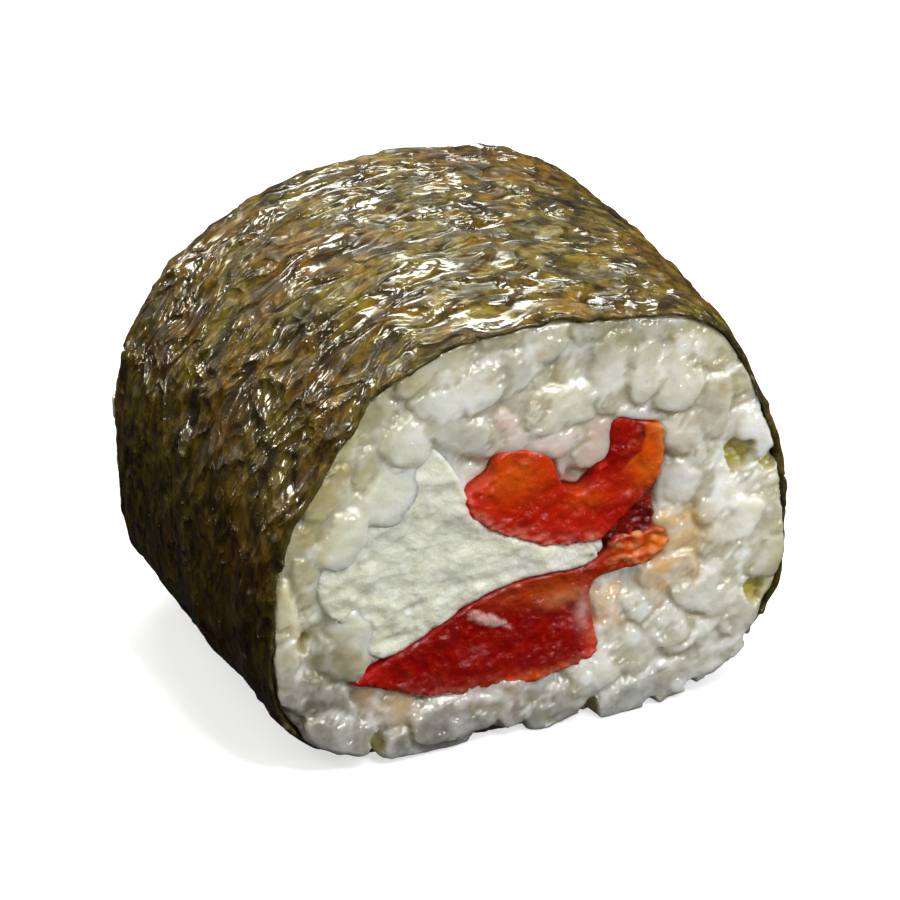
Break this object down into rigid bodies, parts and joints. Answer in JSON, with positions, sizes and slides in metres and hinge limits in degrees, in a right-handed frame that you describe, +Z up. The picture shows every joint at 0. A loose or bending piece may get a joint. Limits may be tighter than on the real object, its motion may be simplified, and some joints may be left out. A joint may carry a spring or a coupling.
{
  "type": "sushi roll",
  "caption": "Slice of a nori-wrapped sushi roll lying on its flattened underside, packed rice round cream cheese and strips of red pepper that run through to both cut faces",
  "frame": {"origin": "centre of the bounding box's footprint, on the surface the slice rests on", "axes": "the roll's axis is along Y with one cut face towards -Y and the other towards +Y, X is across the roll, +Z is up from the flattened underside"},
  "size_m": [0.0414, 0.0298, 0.033],
  "materials": {
    "nori": "dark olive-brown dried seaweed sheet, finely wrinkled, moist satin gloss",
    "rice": "translucent ivory cooked rice with a wet sheen",
    "cream_cheese": "soft white cream cheese, smeared and slightly crumbly at the cut",
    "red_pepper": "wet orange-red flesh with a deep red skin side"
  },
  "bodies": {
    "root": {"nori": "nori", "rice": "rice", "cream_cheese": "cream_cheese", "pepper_upper": "red_pepper", "pepper_lower": "red_pepper"}
  },
  "joints": []
}
